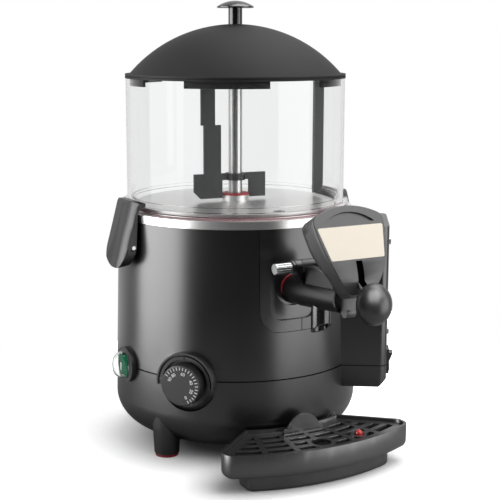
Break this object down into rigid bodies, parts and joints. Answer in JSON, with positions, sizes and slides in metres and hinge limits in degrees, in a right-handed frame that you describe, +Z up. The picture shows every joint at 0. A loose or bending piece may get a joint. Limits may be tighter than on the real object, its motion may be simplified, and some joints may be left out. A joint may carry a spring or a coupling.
{
  "type": "hot chocolate dispenser",
  "caption": "Countertop hot drink dispenser: domed lid, clear cylindrical tank with stirrer over a heated base, lever tap, dial, side latches and a separate drip tray.",
  "frame": {"origin": "on the floor under the middle of the outline", "axes": "+Z up, front with the tap towards -Y"},
  "size_m": [0.2914, 0.4088, 0.4503],
  "materials": {
    "black_shell": "satin moulded black",
    "black_frame": "satin moulded black",
    "black_lid": "matt moulded black",
    "black_tap": "satin black",
    "gloss_spout": "polished black",
    "black_handle": "satin black, lighter face",
    "black_ball": "satin black",
    "black_latch": "satin black",
    "black_control": "satin black",
    "black_tray": "satin black",
    "clear_tank": "clear polished",
    "clear_cover": "clear soft",
    "steel": "brushed stainless",
    "zinc": "plated",
    "spring_steel": "drawn wire",
    "chrome_pin": "polished, fluted",
    "motor_body": "painted",
    "heater_body": "cast",
    "red_rubber": "matt silicone",
    "red_float": "moulded",
    "paddle": "moulded grey",
    "valve": "moulded grey",
    "cream_sign": "plain cream",
    "green_switch": "translucent green",
    "black_switch": "smooth black",
    "grey_fitting": "moulded"
  },
  "bodies": {
    "machine": {"casing": "black_shell", "base": "black_shell", "side_cover": "black_shell", "front_panel": "black_shell", "front_frame": "black_frame", "tap_body": "black_tap", "barrel_plug": "black_tap", "spout": "gloss_spout", "latch_brackets": "black_latch", "dial_bezel": "black_control", "heat_bezel": "black_control", "power_frame": "black_control", "tank": "clear_tank", "heat_cover": "clear_cover", "bath": "steel", "column": "steel", "outlet": "steel", "cover_screws": "zinc", "under_screws": "zinc", "latch_pins": "zinc", "motor_bracket": "zinc", "bottom_plate": "zinc", "cutout": "zinc", "spring": "spring_steel", "pivot_pin": "chrome_pin", "motor": "motor_body", "heater": "heater_body", "tank_gasket": "red_rubber", "column_seal": "red_rubber", "tap_seal": "red_rubber", "foot_pads": "red_rubber", "thermostat": "grey_fitting", "terminal_block": "grey_fitting", "cord_gland": "grey_fitting"},
    "lid": {"lid": "black_lid", "knob": "black_lid", "knob_screw": "zinc"},
    "stirrer": {"stirrer": "paddle", "drive_shaft": "steel"},
    "lever": {"handle": "black_handle", "sign_plate": "cream_sign", "ball_knob": "black_ball"},
    "plunger": {"plunger": "valve", "plunger_seal": "red_rubber"},
    "dial": {"dial": "black_control", "spindle": "steel"},
    "heat_rocker": {"heat_rocker": "green_switch"},
    "power_rocker": {"power_rocker": "black_switch"},
    "latch_left": {"latch_left": "black_latch"},
    "latch_right": {"latch_right": "black_latch"},
    "tray": {"tray": "black_tray"},
    "grille": {"grille": "black_tray"},
    "float": {"tray_float": "red_float"}
  },
  "joints": [
    {"name": "lid_lift", "type": "slide", "parent": "machine", "child": "lid", "axis": [0, 0, 1], "range_m": [0, 0.12]},
    {"name": "stirrer_spin", "type": "hinge", "parent": "machine", "child": "stirrer", "pos_m": [-0.00356, 0.0674, 0.3], "axis": [0, 0, 1], "continuous": true},
    {"name": "lever_lift", "type": "hinge", "parent": "machine", "child": "lever", "pos_m": [-0.00356, -0.0811, 0.202], "axis": [-1, 0, 0], "range_deg": [0, 17], "stiffness_Nm_per_rad": 0.8, "springref_deg": -14.32},
    {"name": "plunger_lift", "type": "slide", "parent": "machine", "child": "plunger", "axis": [0, 0, 1], "range_m": [0, 0.0086], "deforming": ["spring"]},
    {"name": "dial_turn", "type": "hinge", "parent": "machine", "child": "dial", "pos_m": [-0.10314, -0.01616, 0.084], "axis": [-0.766, -0.6428, 0], "range_deg": [-60, 150]},
    {"name": "heat_switch", "type": "hinge", "parent": "machine", "child": "heat_rocker", "pos_m": [-0.12948, 0.063, 0.087], "axis": [-0.0349, 0.9994, 0], "range_deg": [0, 16]},
    {"name": "power_switch", "type": "hinge", "parent": "machine", "child": "power_rocker", "pos_m": [0.10904, -0.04794, 0.088], "axis": [-0.5388, -0.8425, 0], "range_deg": [0, 16]},
    {"name": "left_latch", "type": "hinge", "parent": "machine", "child": "latch_left", "pos_m": [-0.12992, 0.0674, 0.2098], "axis": [0, -1, 0], "range_deg": [0, 14]},
    {"name": "right_latch", "type": "hinge", "parent": "machine", "child": "latch_right", "pos_m": [0.1228, 0.0674, 0.2098], "axis": [0, 1, 0], "range_deg": [0, 14]},
    {"name": "tray_pull", "type": "slide", "parent": "machine", "child": "tray", "axis": [0, -1, 0], "range_m": [0, 0.15]},
    {"name": "grille_lift", "type": "slide", "parent": "tray", "child": "grille", "axis": [0, 0, 1], "range_m": [0, 0.08]},
    {"name": "float_rise", "type": "slide", "parent": "tray", "child": "float", "axis": [0, 0, 1], "range_m": [0, 0.01]}
  ],
  "couplings": [
    {"joint": "plunger_lift", "follows": "lever_lift", "m_per_rad": 0.0285}
  ]
}
